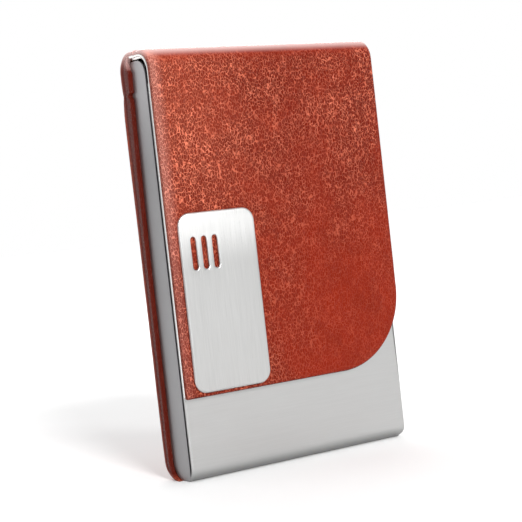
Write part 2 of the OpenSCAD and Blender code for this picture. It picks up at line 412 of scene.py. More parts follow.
class Nodes:
    """A material's node tree, with short calls for the nodes used here."""

    def __init__(self, name):
        self.material = bpy.data.materials.new(name)
        self.material.use_nodes = True
        self.tree = self.material.node_tree
        self.shader = self.tree.nodes["Principled BSDF"]

    def node(self, kind, inputs=None, **facts):
        made = self.tree.nodes.new(kind)
        for key, value in facts.items():
            setattr(made, key, value)
        for key, value in (inputs or {}).items():
            self.put(value, made.inputs[key])
        return made

    def put(self, value, socket):
        if isinstance(value, bpy.types.NodeSocket):
            self.tree.links.new(value, socket)
        elif socket.type == "RGBA":
            socket.default_value = tuple(value[:3]) + (1.0,)
        else:
            socket.default_value = value

    def set(self, **values):
        for key, value in values.items():
            self.put(value, self.shader.inputs[key.replace("_", " ")])
        return self.material

    def unrolled(self):
        return self.node("ShaderNodeAttribute", attribute_name="unrolled").outputs["Vector"]

    def solid(self):
        """Object coordinates in millimetres, for pieces without an unrolled place."""
        at = self.node("ShaderNodeTexCoord").outputs["Object"]
        return self.node("ShaderNodeVectorMath", {0: at, "Scale": 1 / MM}, operation="SCALE").outputs[0]

    def stretched(self, at, scale, shift=(0.0, 0.0, 0.0)):
        return self.node("ShaderNodeMapping", {"Vector": at, "Scale": scale, "Location": shift}).outputs[0]

    def noise(self, at, scale, detail=3.0, roughness=0.5):
        return self.node("ShaderNodeTexNoise", {"Vector": at, "Scale": scale, "Detail": detail,
                                                "Roughness": roughness}).outputs["Fac"]

    def cells(self, at, scale, feature="F1"):
        """Distance to the nearest cell's centre, or with DISTANCE_TO_EDGE to the border between cells."""
        made = self.node("ShaderNodeTexVoronoi", {"Vector": at, "Scale": scale}, feature=feature)
        return made.outputs["Distance"]

    def math(self, what, a, b=0.5):
        return self.node("ShaderNodeMath", {0: a, 1: b}, operation=what).outputs[0]

    def times(self, *values):
        """The product of two or more values."""
        product = values[0]
        for value in values[1:]:
            product = self.math("MULTIPLY", product, value)
        return product

    def ramp(self, value, low, high, to_low=0.0, to_high=1.0):
        """value from low to high, smoothly, becomes to_low to to_high."""
        return self.node("ShaderNodeMapRange", {"Value": value, "From Min": low, "From Max": high,
                                                "To Min": to_low, "To Max": to_high},
                         interpolation_type="SMOOTHSTEP").outputs["Result"]

    def mix(self, share, a, b):
        made = self.tree.nodes.new("ShaderNodeMix")
        made.data_type = "RGBA"
        for value, index in ((share, 0), (a, 6), (b, 7)):
            self.put(value, made.inputs[index])
        return made.outputs[2]

    def bump(self, height, distance):
        return self.node("ShaderNodeBump", {"Height": height, "Distance": distance * MM}).outputs["Normal"]

    def warped(self, at, scale, amount):
        """at, pushed about by noise."""
        def vector(operation, values):
            return self.node("ShaderNodeVectorMath", values, operation=operation).outputs[0]

        push = self.node("ShaderNodeTexNoise", {"Vector": at, "Scale": scale, "Detail": 2.0}).outputs["Color"]
        centred = vector("SUBTRACT", {0: push, 1: (0.5, 0.5, 0.5)})
        return vector("ADD", {0: at, 1: vector("SCALE", {0: centred, "Scale": amount})})


# Painted light and shade for the leather: a painted sheen over the crown and along the flap's left edge, and
# painted shade on the turned-in inner sides.
CROWN_SHEEN = (0.85, 0.60, 0.57)
EDGE_SHEEN = (0.76, 0.34, 0.27)
INNER_SHADE = (0.075, 0.0055, 0.0025)


def leather_areas(n, x, s, depth):
    """Where the grain shows: calm is low over the crown, and lively is low at the lower right as well. lively
    carries the painted glints and the painted shade in the grain's hollows, so both fade towards the lower
    right, where less light falls.
    """
    plain = n.times(n.ramp(s, 14, 66, 1.0, 0.0), n.ramp(x, -22, 12))
    cloud = n.ramp(n.noise(n.unrolled(), 0.07, 3.0, 0.55), 0.38, 0.60, 0.6, 1.0)
    cloud = n.times(cloud, n.ramp(depth, -0.9, -0.2, 0.35, 1.0))
    calm = n.math("MAXIMUM", n.ramp(s, FRONT_BEND, FRONT_BEND + 3.5, 1.0, 0.15), n.ramp(s, REAR, REAR + 6))
    cloud = n.times(cloud, calm)
    return calm, n.times(n.math("SUBTRACT", 1.0, n.times(plain, 0.78)), cloud)


def leather_edges(n, colour, grain, x, s, depth, dark):
    """Painted sheen: pale over the crown and along the left edge. Painted shade: dark on the inner sides and
    on the cut edges.
    """
    crown = n.times(n.ramp(s, FRONT_BEND + 2.0, FRONT_BEND + 5.0), n.ramp(s, REAR_BEND, REAR, 1.0, 0.0))
    # Painted sheen over the crown.
    colour = n.mix(n.times(crown, 0.72), colour, CROWN_SHEEN)
    # Painted highlight along the flap's left edge, stronger higher up.
    edge = n.times(n.ramp(x, -HALF + 0.2, -HALF + 3.6, 1.0, 0.0), n.ramp(s, 0.0, 60.0, 0.25, 0.6))
    edge = n.times(edge, n.ramp(s, CROWN - 4, CROWN, 1.0, 0.0), n.ramp(grain, 0.3, 0.6, 0.4, 1.0))
    colour = n.mix(edge, colour, EDGE_SHEEN)
    # Painted shade on the turned-in inner sides, weak on the flap and full along the back panel.
    inner = n.times(n.ramp(depth, -1.5, -0.25, 0.9, 0.0), n.ramp(s, REAR_BEND, REAR, 0.3, 1.0))
    colour = n.mix(inner, colour, INNER_SHADE)
    # Painted shade on the flap's cut edges, fading round the front bend and weaker along the left side.
    cut = n.times(n.ramp(depth, -0.62, -0.36, 0.8, 0.0), n.ramp(s, FRONT_BEND, CROWN, 1.0, 0.0))
    return n.mix(n.times(cut, n.ramp(x, -HALF + 1, -HALF + 3, 0.45, 1.0)), colour, dark)


def leather_material(name, tone, dark, light):
    """Glazed leather: a darker ground with painted glints on its light veins and long pale bands, painted
    shade in its grain's hollows, and a painted sheen towards the upper left.
    """
    n = Nodes(name)
    at = n.unrolled()
    x, s, depth = n.node("ShaderNodeSeparateXYZ", {0: at}).outputs
    bent = n.warped(at, 0.22, 3.2)
    vein_at = n.stretched(n.warped(at, 0.8, 0.5), (1.0, 0.5, 1.0))
    veins = n.times(n.ramp(n.cells(vein_at, 2.0, "DISTANCE_TO_EDGE"), 0.02, 0.17, 1.0, 0.0), 0.55)
    grain = n.math("ADD", veins, n.times(n.noise(vein_at, 4.6, 2.0, 0.6), 0.52))
    streak = n.noise(n.stretched(bent, (1.0, 0.34, 1.0)), 0.9, 3.0, 0.55)
    fine = n.noise(at, 6.0, 3.0, 0.6)
    calm, lively = leather_areas(n, x, s, depth)
    # glow is a painted sheen: a pale veil towards the upper left, where the light falls.
    glow = n.times(n.ramp(x, -32, 6, 1.0, 0.0), n.ramp(s, 20, 62))
    band = n.noise(n.stretched(bent, (0.16, 0.045, 1.0), (3.7, 1.9, 0.0)), 1.0, 1.0, 0.5)
    band = n.ramp(n.math("ABSOLUTE", n.math("SUBTRACT", band, 0.53)), 0.0, 0.03, 1.0, 0.0)
    band = n.times(band, n.times(lively, n.ramp(s, 34, 66)))
    patches = n.noise(at, 0.10, 4.0, 0.6)
    colour = n.mix(n.ramp(patches, 0.3, 0.72), tone, tuple(0.82 * c for c in tone))
    colour = n.mix(n.times(glow, 0.13), colour, light)
    # Painted shade in the grain's hollows.
    colour = n.mix(n.times(n.ramp(grain, 0.35, 0.52, 0.38, 0.0), lively), colour, dark)
    # Painted highlights on the grain's raised veins and along the pale bands, brighter towards the upper
    # left.
    grain_glints = n.times(n.ramp(grain, 0.50, 0.66), n.ramp(streak, 0.36, 0.62, 0.34, 0.85))
    grain_glints = n.times(grain_glints, n.times(lively, n.ramp(glow, 0.0, 1.0, 0.72, 1.1)))
    grain_glints = n.math("ADD", grain_glints, n.times(band, n.ramp(grain, 0.40, 0.60, 0.0, 0.45)))
    colour = leather_edges(n, n.mix(grain_glints, colour, light), grain, x, s, depth, dark)
    height = n.math("ADD", n.times(grain, 0.9), n.times(streak, 0.8))
    height = n.math("ADD", height, n.times(fine, 0.12))
    height = n.math("ADD", height, n.times(band, 0.2))
    height = n.times(height, n.ramp(lively, 0.0, 1.0, 0.15, 1.0))
    normal = n.bump(n.times(height, calm), 0.42)
    rough = n.times(n.ramp(fine, 0.3, 0.75, 0.20, 0.30), n.ramp(calm, 0.15, 1.0, 1.1, 1.0))
    return n.set(Base_Color=colour, Roughness=rough, Normal=normal, Specular_IOR_Level=0.09)


def brushed_material(name, tone, roughness, along, grain=0.010, tint=0.10, shading=(), right_edge_shade=0.0):
    """Metal brushed along one way: fine lines in colour, gloss and height. shading is (low z, high z,
    darkness at the low end), a painted shade that darkens the colour towards the low end, and the last
    argument paints a dark reflection along the right edge."""
    n = Nodes(name)
    at = n.solid()
    scale = {"z": (9.0, 9.0, 0.12), "x": (0.12, 9.0, 9.0)}[along]
    lines = n.noise(n.stretched(at, scale), 1.0, 4.0, 0.65)
    broad = n.noise(n.stretched(at, tuple(0.25 * c for c in scale)), 1.0, 2.0, 0.5)
    smudge = n.noise(at, 0.09, 3.0, 0.5)
    shade = n.ramp(lines, 0.3, 0.7, 1 - tint, 1 + 0.35 * tint)
    shade = n.times(shade, n.ramp(broad, 0.3, 0.7, 1 - 0.3 * tint, 1.0))
    # Painted dark reflection along the plate's right edge, wider higher up and narrowing towards the foot.
    if right_edge_shade:
        x, _, z = n.node("ShaderNodeSeparateXYZ", {0: at}).outputs
        turned = n.math("ADD", x, n.ramp(z, 5.0, 30.0, -0.35, 0.35))
        right = plate_hi.x
        shade = n.times(shade, n.ramp(turned, right - 0.5, right - 0.1, 1.0, 1 - right_edge_shade))
    # Painted light and shade: the colour darkens from high to low z.
    if shading:
        low, high, darkness = shading
        z = n.node("ShaderNodeSeparateXYZ", {0: at}).outputs["Z"]
        shade = n.times(shade, n.ramp(z, low, high, 1 - darkness, 1.0))
    colour = n.node("ShaderNodeVectorMath", {0: tone, "Scale": shade}, operation="SCALE").outputs[0]
    rough = n.math("ADD", n.ramp(lines, 0.25, 0.75, roughness - 0.04, roughness + 0.05),
                   n.ramp(smudge, 0.35, 0.7, 0.0, 0.04))
    return n.set(Base_Color=colour, Metallic=1.0, Roughness=rough, Normal=n.bump(lines, grain))


def polished_material(name, tone, roughness):
    """Polished metal with faint scratches. It is darker everywhere but along its two sides: painted shade
    that leaves the sides bright as a painted highlight.
    """
    n = Nodes(name)
    at = n.solid()
    haze = n.noise(at, 0.35, 4.0, 0.6)
    scratch = n.noise(n.stretched(at, (6.0, 6.0, 0.25)), 1.0, 3.0, 0.7)
    rough = n.ramp(haze, 0.3, 0.7, roughness, roughness + 0.02)
    colour = n.mix(n.ramp(scratch, 0.35, 0.75), tone, tuple(0.93 * c for c in tone))
    x = n.node("ShaderNodeSeparateXYZ", {0: at}).outputs["X"]
    # Painted shade between the two sides, so the sides stay bright as a painted highlight.
    shaded_between_sides = n.ramp(n.math("ABSOLUTE", x), HALF - 1.6, HALF - 0.9, 1.0, 0.0)
    colour = n.mix(shaded_between_sides, colour, tuple(0.62 * c for c in tone))
    return n.set(Base_Color=colour, Metallic=1.0, Roughness=rough, Normal=n.bump(scratch, 0.001))


def flock_material(name, tone=(0.022, 0.022, 0.025)):
    n = Nodes(name)
    at = n.solid()
    fuzz = n.noise(at, 9.0, 4.0, 0.75)
    nap = n.noise(at, 0.5, 3.0, 0.5)
    colour = n.mix(n.ramp(nap, 0.35, 0.7), tone, tuple(1.8 * c for c in tone))
    return n.set(Base_Color=colour, Roughness=0.95, Sheen_Weight=0.5, Sheen_Roughness=0.4,
                 Specular_IOR_Level=0.15, Normal=n.bump(fuzz, 0.12))


def fibre_material(name, tone, scale=2.5, depth=0.05, roughness=0.9):
    """Board or tape: a matte material with flecks and a rough surface."""
    n = Nodes(name)
    at = n.solid()
    flecks = n.noise(at, scale, 5.0, 0.7)
    spots = n.cells(at, 1.6 * scale)
    colour = n.mix(n.ramp(flecks, 0.35, 0.7), tone, tuple(0.72 * c for c in tone))
    height = n.math("ADD", flecks, n.times(spots, 0.4))
    return n.set(Base_Color=colour, Roughness=roughness, Specular_IOR_Level=0.2, Normal=n.bump(height, depth))


# Each leather gets its tone, then the dark of the painted shade in hollows and on cut edges, then the pale
# colour of the painted glints and sheen.
leather = leather_material("leather", (0.222, 0.0125, 0.002), (0.055, 0.0018, 0.0008), (0.80, 0.205, 0.115))
lining_leather = leather_material("lining_leather", (0.09, 0.012, 0.007), (0.04, 0.006, 0.004),
                                  (0.14, 0.03, 0.018))
# Painted shade: the front plate darkens on its roll at the foot, with a painted dark reflection down its
# right edge.
plate_steel = brushed_material("plate_steel", (0.53, 0.53, 0.525), 0.36, "x", 0.003, 0.04,
                               (0.0, PLATE_ROLL_R, 0.5), 0.6)
# Painted reflection: the side walls are lighter towards the top.
wall_steel = brushed_material("wall_steel", (0.475, 0.47, 0.48), 0.40, "z", 0.003, 0.04,
                              (wall_hi.z - 26, wall_hi.z, 0.33))
# Painted highlight: the ornament plate is lighter at the top.
badge_steel = brushed_material("badge_steel", (0.92, 0.92, 0.91), 0.30, "z", 0.006, 0.08,
                               (badge_hi.z - 13, badge_hi.z - 1.5, 0.36))
# Near-black steel for the flanges: painted shade in the groove beside the front plate.
groove_shade_steel = brushed_material("groove_shade_steel", (0.07, 0.07, 0.075), 0.5, "z")
inner_steel = brushed_material("inner_steel", (0.50, 0.50, 0.49), 0.36, "x")
mirror_steel = polished_material("mirror_steel", (0.97, 0.96, 0.94), 0.26)
nickel = polished_material("nickel", (0.70, 0.71, 0.73), 0.2)
flock = flock_material("flock")
greyboard = fibre_material("greyboard", (0.30, 0.25, 0.20))
tape_paper = fibre_material("tape_paper", (0.70, 0.67, 0.58), 4.0, 0.01, 0.6)

# ---- Leather cover ----


def fixed(value):
    return lambda points: np.full(len(points), float(value))


def to_pocket(s):
    """Depth of the leather under the foot, from its outer face to the pocket's rounded lower corner."""
    points, normals = cover_path.place(s)
    centre = np.array([back_lo.y, WALL_FOOT_R])
    return depth_to_circle(points, -normals, centre, WALL_FOOT_R)


def depth_to_circle(points, ways, centre, radius):
    gap = points - centre
    b = (gap * ways).sum(1)
    c = (gap**2).sum(1) - radius**2
    return -b - np.sqrt(np.maximum(b**2 - c, 0))


EDGE_DEPTHS = [  # place along the cover, and how far its side reaches in from the outer face
    (0, HEM_T), (FRONT_BEND - 6, HEM_T), (FRONT_BEND, 1.06), (FRONT_BEND + 3.5, CROWN_T + 0.04),
    (CROWN, CROWN_T), (REAR_BEND, CROWN_T),
    (REAR_BEND + 1.6, 2.2), (REAR_BEND + 3.4, 3.5), (REAR, 4.15), (at_height(hinge_z + 0.7), 3.95),
    (at_height(hinge_z + 0.25), 3.2), (at_height(hinge_z - 0.25), 3.2), (at_height(hinge_z - 0.7), 3.75),
    (at_height(70), 3.3), (at_height(50), 2.95), (at_height(20), 2.8), (at_height(10), 2.75)]


def edge_depth(s):
    places_s, depths = zip(*EDGE_DEPTHS)
    depth = np.interp(s, places_s, depths)
    under = s > FOOT
    depth[under] = np.minimum(depth[under], to_pocket(s[under]))
    return np.maximum(depth, 0.06)


def wave(x, s, scale, seed):
    """Smooth noise from -1 to 1 over the unrolled cover."""
    return np.array([noise.noise(Vector((a * scale, b * scale, seed))) for a, b in zip(x, s)])


def soft(t):
    t = np.clip(t, 0, 1)
    return t * t * (3 - 2 * t)


def edge_distance(x, s):
    """Distance from the flap's sides and lower edge."""
    inside = np.minimum(HALF - np.abs(x), s)
    cx, cs = HALF - FLAP_CORNER_R, FLAP_CORNER_R
    corner = (x > cx) & (s < cs)
    inside[corner] = FLAP_CORNER_R - np.hypot(x[corner] - cx, s[corner] - cs)
    return np.maximum(inside, 0)


def flap_lift(x, s):
    """The flap's front sinks towards its edges and waves a little."""
    d = edge_distance(x, s)
    fade = soft((SEAM - s) / 4)
    low = np.exp(-s / 2.2) * 0.05
    left = soft((-x - HALF + 6) / 4)
    sink = -(0.20 + 0.22 * left) * np.exp(-d / 1.4)
    ripple = 0.035 * wave(x, s, 0.16, 1.7) + 0.020 * wave(x, s, 0.42, 5.1)
    return sink + (ripple + low) * fade * soft(d / 3)


PANEL_LIFTS = [
    (SEAM, 0), (REAR_BEND, 0), (REAR - 2, 0.25), (at_height(90.5), 0.30),
    (at_height(hinge_z + 0.9), 0.10), (at_height(hinge_z), -0.10), (at_height(hinge_z - 0.9), 0.22),
    (at_height(83), 0.58), (at_height(76), 0.62), (at_height(64), 0.45), (at_height(50), 0.34),
    (at_height(20), 0.28), (at_height(9), 0.18), (FOOT, 0.05), (FOOT + 3, 0)]


def panel_lift(x, s):
    """The back panel is padded: it stands proud between the hinge and the foot."""
    places_s, lifts = zip(*PANEL_LIFTS)
    base = np.interp(s, places_s, lifts)
    fade = soft((s - SEAM) / 4) * soft((SOLE - 2 - s) / 6)
    side = soft((HALF - np.abs(x)) / 6)
    ripple = 0.04 * wave(x, s, 0.14, 9.3) + 0.02 * wave(x, s, 0.4, 3.3)
    return base + (ripple + 0.12 * side * soft(base / 0.3)) * fade


def cover_rings():
    """Rings round the leather's edge: a round outer edge, a fold line, and the turned-in hem."""
    def depth(p):
        return edge_depth(p[:, 1])

    def radius(p):
        return np.minimum(0.75 + 0.35 * soft((p[:, 1] - REAR_BEND) / 4), 0.6 * depth(p))

    def fold(p):
        return depth(p) - np.minimum(liner_lip(p), 0.4 * depth(p))

    def hem_back(p):
        return -np.minimum(SKIN_T - 0.1, depth(p) - 0.02)

    made = [(radius, fixed(0))]
    for angle in np.radians([22.5, 45, 67.5, 90]):
        made.append((lambda p, a=angle: radius(p) * (1 - math.sin(a)),
                     lambda p, a=angle: -radius(p) * (1 - math.cos(a))))
    for pull, share in [(0.0, 0.22), (0.10, 0.34), (0.0, 0.46)]:
        made.append((lambda p, w=pull: w * np.minimum(1, depth(p)),
                     lambda p, f=share: -(radius(p) + f * (fold(p) - 0.1 - radius(p)))))
    made += [
        (fixed(0), lambda p: -(fold(p) - 0.16 * np.minimum(1, depth(p)))),
        (lambda p: 0.12 * np.minimum(1, depth(p)), lambda p: -(fold(p) - 0.04)),
        (lambda p: 0.30 * np.minimum(1, depth(p)), lambda p: -fold(p)),
        (fixed(0.62), lambda p: -fold(p)),
        (fixed(0.70), lambda p: -depth(p)),
        (rim_width, lambda p: -depth(p)),
        (rim_width, hem_back),
        (lambda p: rim_width(p) + 0.02, hem_back),
    ]
    return made


def liner_lip(points):
    """The hem stands back where the steel liner's rolled edge lies on it."""
    return 0.2 * soft((REAR_BEND - points[:, 1]) / 2)


def rim_width(points):
    """How wide the hem is. Beside the pocket it just clears the side wall."""
    beside = HALF - abs(wall_lo.x) - 0.02
    return 0.85 + (beside - 0.85) * soft((points[:, 1] - CROWN) / 4)


cover_edge = cover_rings()
columns = int(2 * HALF / GRID) + 1
flap_sides = outline(HALF, 0, SEAM, [SMALL_CORNER_R, FLAP_CORNER_R, 0, 0],
                     (columns, int(SEAM / GRID)), open_high=True)
flap_cover = shell("flap_cover", cover_path, flap_sides, cover_edge, leather, flap_lift)
panel_sides = outline(HALF, SEAM, END, [0, 0, 0, 0], (columns, int((END - SEAM) / PANEL_GRID)),
                      open_low=True, open_high=True)
back_cover = shell("back_cover", cover_path, panel_sides, cover_edge, leather, panel_lift)

# ---- Steel liner, pocket and linings ----


def rounded_rings(thickness, radius, back_radius):
    """Rings round the edge of a plain sheet."""
    made = [(fixed(radius), fixed(0))]
    for a in np.radians([30, 60, 90]):
        made.append((fixed(radius * (1 - math.sin(a))), fixed(-radius * (1 - math.cos(a)))))
    for a in np.radians([0, 45, 90]):
        made.append((fixed(back_radius * (1 - math.cos(a))),
                     fixed(-(thickness - back_radius) - back_radius * math.sin(a))))
    made.append((fixed(back_radius + 0.3), fixed(-thickness)))
    return made


liner_half = liner_hi.x
liner_top = wall_hi.z + LINER_GAP + LINER_T
liner_path = (Path((liner_lo.y, liner_lo.z), 90).straight(liner_top - LINER_BEND_R - liner_lo.z)
              .turn(LINER_BEND_R, 90).straight(liner_hi.y - liner_lo.y - LINER_BEND_R))
BEAD_R = 0.4
BEAD_RISE = 0.38
BEAD_IN = 0.1
liner_rings = [(fixed(0.75), fixed(0)), (fixed(0.62), fixed(0.02))]
for bead_angle in np.radians([-40, -15, 15, 45, 75, 105, 135, 165, 195, 220]):
    liner_rings.append((fixed(BEAD_IN - BEAD_R * math.sin(bead_angle)),
                        fixed(BEAD_RISE + BEAD_R * math.cos(bead_angle))))
liner_rings += [(fixed(0.65), fixed(-LINER_T)), (fixed(0.8), fixed(-LINER_T))]
liner_sides = outline(liner_half, 0, liner_path.length,
                      [SMALL_CORNER_R, FLAP_CORNER_R - 0.3, SMALL_CORNER_R, SMALL_CORNER_R],
                      (90, int(liner_path.length / GRID)))
flap_liner = shell("liner_sheet", liner_path, liner_sides, liner_rings, mirror_steel)


PLATE_COLUMNS = 100


def plate_sides():
    """Four sides of the front plate: a joint under the pocket, round lower corners, and the thumb notch."""
    half = plate_hi.x
    length = plate_path.length
    s = np.linspace(0, length, 3000)
    z = plate_path.place(s)[0][:, 1]
    count = int(length / GRID)

    def edge(sign, radius):
        rise = np.maximum(radius - z, 0)
        x = sign * (half - radius + np.sqrt(np.maximum(radius**2 - rise**2, 0)))
        return side_line([np.stack([x, s, np.full(len(s), -sign), np.zeros(len(s))], 1)], count)

    right = edge(1.0, PLATE_CORNER_R)
    left = edge(-1.0, PLATE_LEFT_CORNER_R)
    x = np.linspace(left[0, 0], right[0, 0], PLATE_COLUMNS)
    bottom = np.stack([x, np.zeros(PLATE_COLUMNS), -x / half, np.zeros(PLATE_COLUMNS)], 1)
    arc = np.radians(np.linspace(180, 360, 61))
    notch = np.stack([NOTCH_R * np.cos(arc), length + NOTCH_R * np.sin(arc), np.cos(arc), np.sin(arc)], 1)
    ends = [np.array([[-half, length, 0, -1], [-NOTCH_R, length, 0, -1]]),
            np.array([[NOTCH_R, length, 0, -1], [half, length, 0, -1]])]
    top = side_line([ends[0], notch, ends[1]], PLATE_COLUMNS)
    top[0, 2:], top[-1, 2:] = (1, -1), (-1, -1)
    left[-1, 2:], right[-1, 2:] = (1, -1), (-1, -1)
    return bottom, right, top, left


plate_path = (Path((back_lo.y, 0), 180).straight(back_lo.y - plate_lo.y - PLATE_ROLL_R)
              .turn(PLATE_ROLL_R, 90).straight(plate_hi.z - PLATE_ROLL_R))
SIDE_LIP = 0.42
PLATE_EDGE_R = 0.26


def plate_rim(points):
    """1 along the plate's two sides, 0 at its top edge and at the joint under the pocket."""
    side = soft((np.abs(points[:, 0]) - NOTCH_R - 2) / 4) * (np.abs(points[:, 2]) > 0.5)
    return side * soft((plate_path.length - 0.3 - points[:, 1]) / 1.5) * soft((points[:, 1] - 2.5) / 3)


def plate_ring(degrees):
    """A ring that lies so many degrees round the plate's outer edge."""
    a = math.radians(degrees)

    def radius(points):
        return 0.10 + (PLATE_EDGE_R - 0.10) * plate_rim(points)

    return lambda p: radius(p) * (1 - math.sin(a)), lambda p: -radius(p) * (1 - math.cos(a))


def lip_depth(points):
    return PLATE_T + (SIDE_LIP - PLATE_T) * plate_rim(points)


front_rings = [plate_ring(a) for a in (0, 22.5, 45, 67.5, 90)]
front_rings += [(fixed(0.04), lambda p: -(lip_depth(p) - 0.03)),
                (fixed(0.10), lambda p: -lip_depth(p)),
                (lambda p: 0.14 + 0.22 * plate_rim(p), lambda p: -lip_depth(p)),
                (lambda p: 0.16 + 0.3 * plate_rim(p), fixed(-PLATE_T)),
                (lambda p: 0.3 + 0.4 * plate_rim(p), fixed(-PLATE_T))]
front_plate = shell("front_sheet", plate_path, plate_sides(), front_rings, plate_steel)

side_walls = []
for node in ("side_wall_left", "side_wall_right"):
    lo, hi = places(node)
    radii = [WALL_FRONT_FOOT_R, WALL_FOOT_R, WALL_TOP_R, WALL_FRONT_TOP_R]
    profile = rounded_box(lo.y, lo.z, hi.y, hi.z, radii)
    wall = prism(node.replace("side_wall", "wall_sheet"), profile, lo.x, hi.x, wall_steel, 0.14)
    side_walls.append((wall, node))

# The flanges' near-black steel is painted shade for the groove beside the front plate.
FLANGE_DEPTH = 2.8
flanges = []
for sign, label in ((-1, "left"), (1, "right")):
    outer = sign * (abs(wall_hi.x) - 0.05)
    inner = sign * (abs(wall_hi.x) - PLATE_T)
    z0, z1 = 0.6, plate_hi.z - 0.2
    y0, y1 = plate_lo.y + PLATE_T - 0.05, plate_lo.y + PLATE_T + FLANGE_DEPTH
    profile = rounded_box(y0, z0, y1, z1, [PLATE_ROLL_R - PLATE_T, 0.3, 0.3, 0.3])
    x0, x1 = sorted((inner, outer))
    flanges.append(prism(f"flange_{label}", profile, x0, x1, groove_shade_steel, 0.06))


def sheet_piece(name, node, material):
    """A thin flat lining in a CAD node's box, with soft edges. The front one faces back."""
    lo, hi = places(node)
    path = Path((lo.y, lo.z), 90) if node == "front_lining" else Path((hi.y, hi.z), -90)
    path.straight(hi.z - lo.z)
    sides = outline(hi.x, 0, hi.z - lo.z, [0.6] * 4, (60, 90))
    return shell(name, path, sides, rounded_rings(hi.y - lo.y, 0.15, 0.15), material)


# ---- Ornament plate ----

BADGE_R = 3.0
BADGE_EDGE_R = 0.42
SLOT_COUNT = 3
SLOT_W = 1.3
SLOT_LEN = 7.3
SLOT_PITCH = 2.8
SLOT_LEFT = 3.5
SLOT_LOW = 27.4
SLOT_EDGE_R = 0.28
CELL_MARGIN = 1.05
RIM = 1.7
SLOT_CLEAR = 0.42


def steps(values, size):
    """Grid lines between the given values, about size apart."""
    lines = [values[0]]
    for a, b in zip(values, values[1:]):
        lines += list(np.linspace(a, b, max(1, round((b - a) / size)) + 1)[1:])
    return np.array(lines)


def slot_centres():
    z = badge_lo.z + SLOT_LOW + SLOT_LEN / 2
    return [(badge_lo.x + SLOT_LEFT + i * SLOT_PITCH, z) for i in range(SLOT_COUNT)]


def slot_distance(points):
    """Distance from the edge of the nearest slot."""
    straight = (SLOT_LEN - SLOT_W) / 2
    gaps = []
    for x, z in slot_centres():
        off = np.maximum(np.abs(points[:, 1] - z) - straight, 0)
        gaps.append(np.hypot(points[:, 0] - x, off) - SLOT_W / 2)
    return np.min(gaps, axis=0)


def badge_distance(points):
    """Distance in from the plate's edge."""
    centre = (badge_lo + badge_hi) / 2
    qx = np.abs(points[:, 0] - centre.x) - (badge_hi.x - centre.x - BADGE_R)
    qz = np.abs(points[:, 1] - centre.z) - (badge_hi.z - centre.z - BADGE_R)
    outside = np.hypot(np.maximum(qx, 0), np.maximum(qz, 0))
    return BADGE_R - outside - np.minimum(np.maximum(qx, qz), 0)


def badge_lift(points):
    """Rounded at its edge and at its slots, and slightly domed."""
    def rounded(d, r):
        t = np.clip(1 - d / r, 0, 1)
        return r * (1 - np.sqrt(np.maximum(1 - t * t, 0)))

    d = np.maximum(badge_distance(points), 0)
    gap = np.maximum(slot_distance(points), 0)
    dome = -0.10 * np.exp(-d / 1.1)
    dimple = -0.10 * np.exp(-gap / 0.45)
    return dome + dimple - rounded(d, BADGE_EDGE_R) - rounded(gap, SLOT_EDGE_R)


def round_edge(radius):
    """Insets of the rings round an edge."""
    return [radius * (1 - math.sin(math.radians(a))) for a in range(0, 91, 15)]


def ring_rows(loops):
    quads = []
    for a, b in zip(loops, loops[1:]):
        for i in range(len(a)):
            j = (i + 1) % len(a)
            quads.append([tuple(a[i]), tuple(b[i]), tuple(b[j]), tuple(a[j])])
    return quads


def box_loop(xs, zs):
    """Border of a grid, anticlockwise from its lowest left point."""
    return np.array([(x, zs[0]) for x in xs[:-1]] + [(xs[-1], z) for z in zs[:-1]]
                    + [(x, zs[-1]) for x in xs[:0:-1]] + [(xs[0], z) for z in zs[:0:-1]])


def badge_quads():
    """Flat quads of the plate: a grid, rings round each slot, and rings along the edge."""
    centres = slot_centres()
    half_cell = SLOT_PITCH / 2
    straight = (SLOT_LEN - SLOT_W) / 2
    high = SLOT_LEN / 2 + CELL_MARGIN
    z_mid = centres[0][1]
    cell_x = [centres[0][0] - half_cell + i * SLOT_PITCH for i in range(SLOT_COUNT + 1)]
    xs = steps([badge_lo.x + RIM, *cell_x, badge_hi.x - RIM], 0.47)
    zs = steps([badge_lo.z + RIM, z_mid - high, z_mid + high, badge_hi.z - RIM], 0.6)
    quads = []
    for x0, x1 in zip(xs, xs[1:]):
        for z0, z1 in zip(zs, zs[1:]):
            mid_x, mid_z = (x0 + x1) / 2, (z0 + z1) / 2
            if cell_x[0] < mid_x < cell_x[-1] and abs(mid_z - z_mid) < high:
                continue
            quads.append([(x0, z0), (x1, z0), (x1, z1), (x0, z1)])
    for x, z in centres:
        cx = xs[(xs > x - half_cell - 1e-6) & (xs < x + half_cell + 1e-6)]
        cz = zs[(zs > z - high - 1e-6) & (zs < z + high + 1e-6)]
        border = box_loop(cx, cz)
        spine = np.stack([np.full(len(border), x), z + np.clip(border[:, 1] - z, -straight, straight)], 1)
        way = border - spine
        way /= np.linalg.norm(way, axis=1)[:, None]
        near = spine + way * (SLOT_W / 2 + SLOT_CLEAR)
        loops = [border, border * 0.4 + near * 0.6]
        loops += [spine + way * (SLOT_W / 2 + d) for d in [SLOT_CLEAR] + round_edge(SLOT_EDGE_R)]
        quads += [q[::-1] for q in ring_rows(loops)]
    quads += edge_quads(xs, zs)
    return quads


